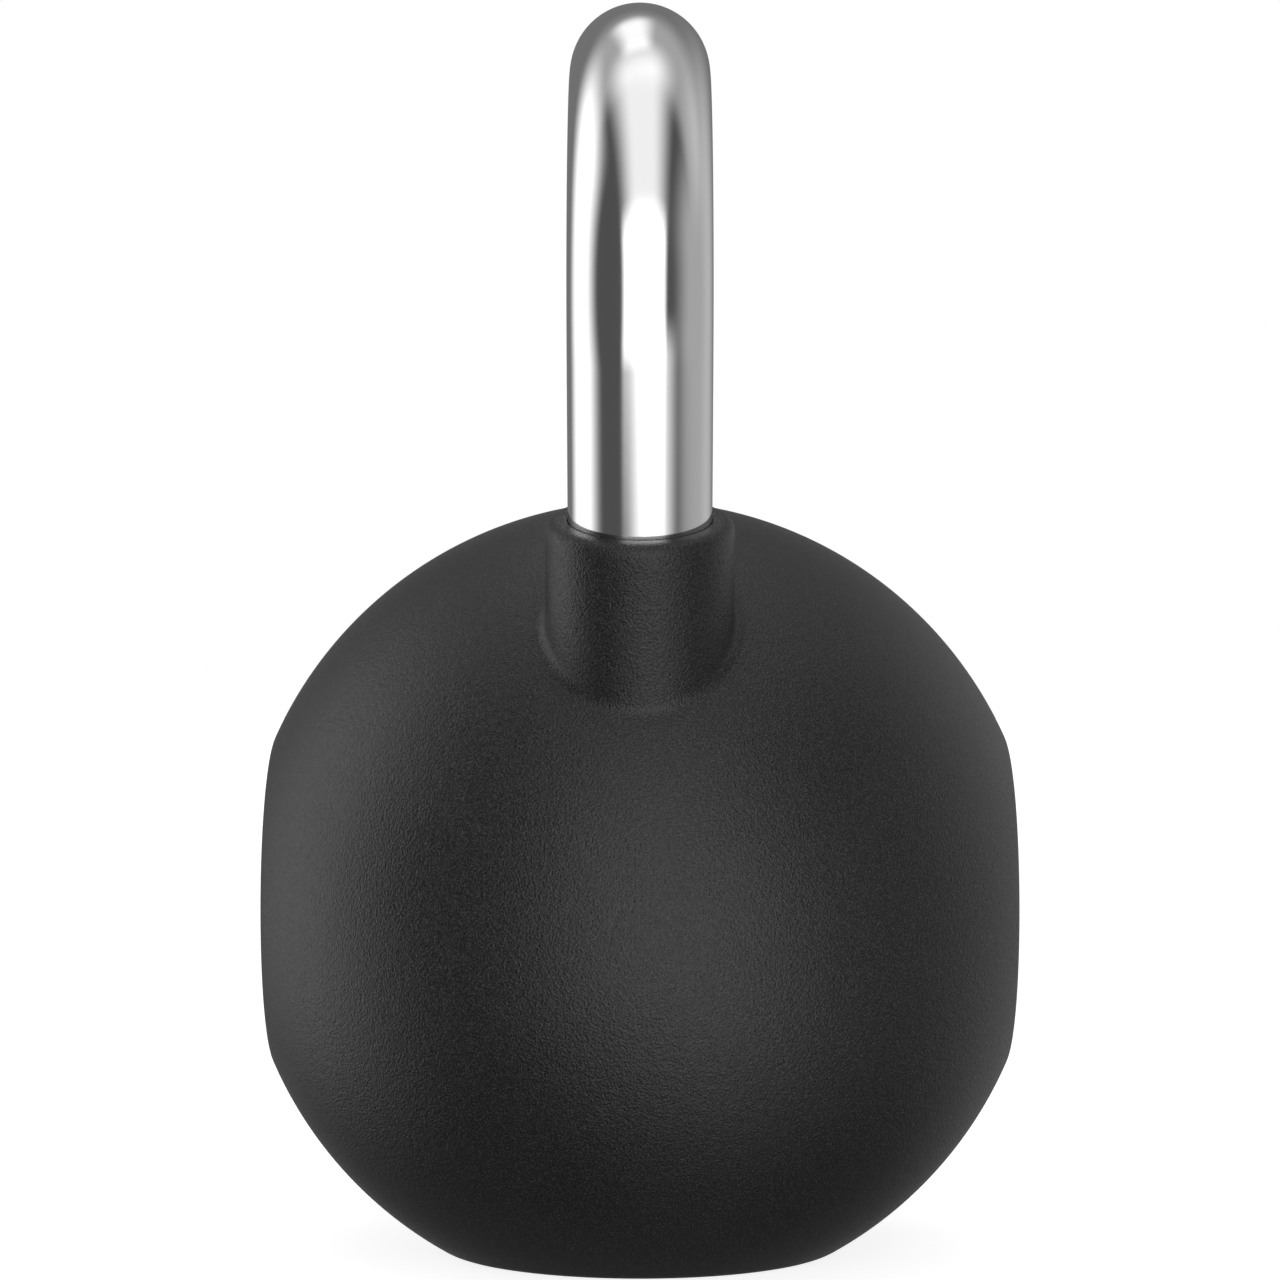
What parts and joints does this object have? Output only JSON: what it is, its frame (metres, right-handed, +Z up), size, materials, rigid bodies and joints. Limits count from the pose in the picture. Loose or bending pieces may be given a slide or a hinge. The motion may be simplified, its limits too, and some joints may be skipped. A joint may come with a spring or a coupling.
{
  "type": "kettlebell",
  "caption": "Round rubber-covered iron kettlebell with flattened sides and base, and a chromed steel bow handle rising from moulded collars.",
  "frame": {"origin": "centre of the flat disc that the ball stands on", "axes": "+Z up from the floor to the grip, +X along the grip towards the right leg, +Y across the grip towards one side flat"},
  "size_m": [0.21, 0.1738, 0.2901],
  "materials": {
    "cast_iron": "matte",
    "moulded_rubber": "matte",
    "chromed_bar": "polished",
    "pin_steel": "satin"
  },
  "bodies": {
    "root": {"iron_core": "cast_iron", "rubber_cover": "moulded_rubber", "handle_bar": "chromed_bar", "right_anchor_pin": "pin_steel", "left_anchor_pin": "pin_steel"}
  },
  "joints": []
}
